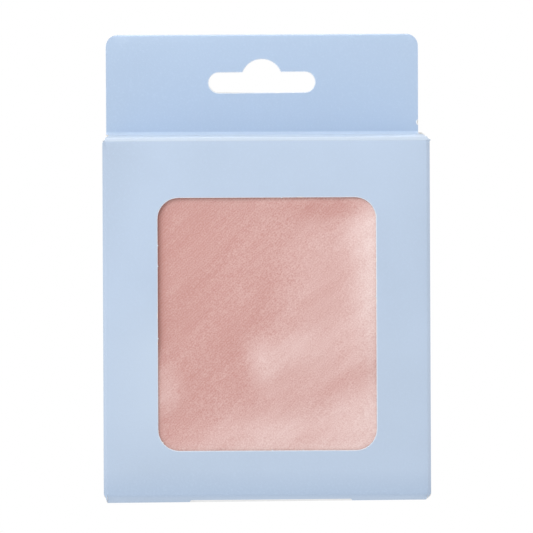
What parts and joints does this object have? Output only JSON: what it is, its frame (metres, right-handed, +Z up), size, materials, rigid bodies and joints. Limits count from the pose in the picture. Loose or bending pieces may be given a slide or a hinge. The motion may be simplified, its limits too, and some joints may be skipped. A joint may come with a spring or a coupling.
{
  "type": "packaged shower cap",
  "caption": "Folded satin shower cap in a pale-blue hang-sell carton with a windowed front, a header with a hanging slot, and a tuck-in bottom lid with dust flaps.",
  "frame": {"origin": "bottom centre of the standing pack", "axes": "+Z up towards the header, front panel with its window faces -Y, +X to the viewer's right"},
  "size_m": [0.096, 0.025, 0.1382],
  "materials": {
    "printed_board": "pale-blue printed coated paperboard, soft satin gloss",
    "bare_board": "unprinted white-grey inner side of the board",
    "satin": "dusty-pink satin with a fine diagonal twill",
    "liner_film": "milky waterproof film",
    "elastic": "white covered elastic"
  },
  "bodies": {
    "carton": {"front_panel": "printed_board", "back_panel": "printed_board", "right_side_panel": "printed_board", "left_side_panel": "printed_board", "glue_flap": "bare_board", "top_lid": "printed_board", "header_front_ply": "printed_board", "header_rear_ply": "printed_board", "top_right_dust_flap": "printed_board", "top_left_dust_flap": "printed_board", "cap_satin_shell": "satin", "cap_liner": "liner_film", "cap_hem_casing": "satin", "cap_elastic_band": "elastic"},
    "bottom_lid": {"bottom_lid": "printed_board"},
    "bottom_tuck": {"bottom_tuck_flap": "printed_board"},
    "right_flap": {"bottom_right_dust_flap": "printed_board"},
    "left_flap": {"bottom_left_dust_flap": "printed_board"}
  },
  "joints": [
    {"name": "bottom_lid_crease", "type": "hinge", "parent": "carton", "child": "bottom_lid", "pos_m": [0, -0.01191, 0.00059], "axis": [-1, 0, 0], "range_deg": [0, 165]},
    {"name": "tuck_crease", "type": "hinge", "parent": "bottom_lid", "child": "bottom_tuck", "pos_m": [0, 0.01108, 0.00072], "axis": [1, 0, 0], "range_deg": [0, 42]},
    {"name": "right_flap_crease", "type": "hinge", "parent": "carton", "child": "right_flap", "pos_m": [0.04765, 0, 0.0011], "axis": [0, -1, 0], "range_deg": [0, 83]},
    {"name": "left_flap_crease", "type": "hinge", "parent": "carton", "child": "left_flap", "pos_m": [-0.04765, 0, 0.0011], "axis": [0, 1, 0], "range_deg": [0, 83]}
  ],
  "couplings": [
    {"joint": "tuck_crease", "follows": "bottom_lid_crease", "ratio": 0.25},
    {"joint": "right_flap_crease", "follows": "bottom_lid_crease", "ratio": 0.5},
    {"joint": "left_flap_crease", "follows": "bottom_lid_crease", "ratio": 0.5}
  ]
}
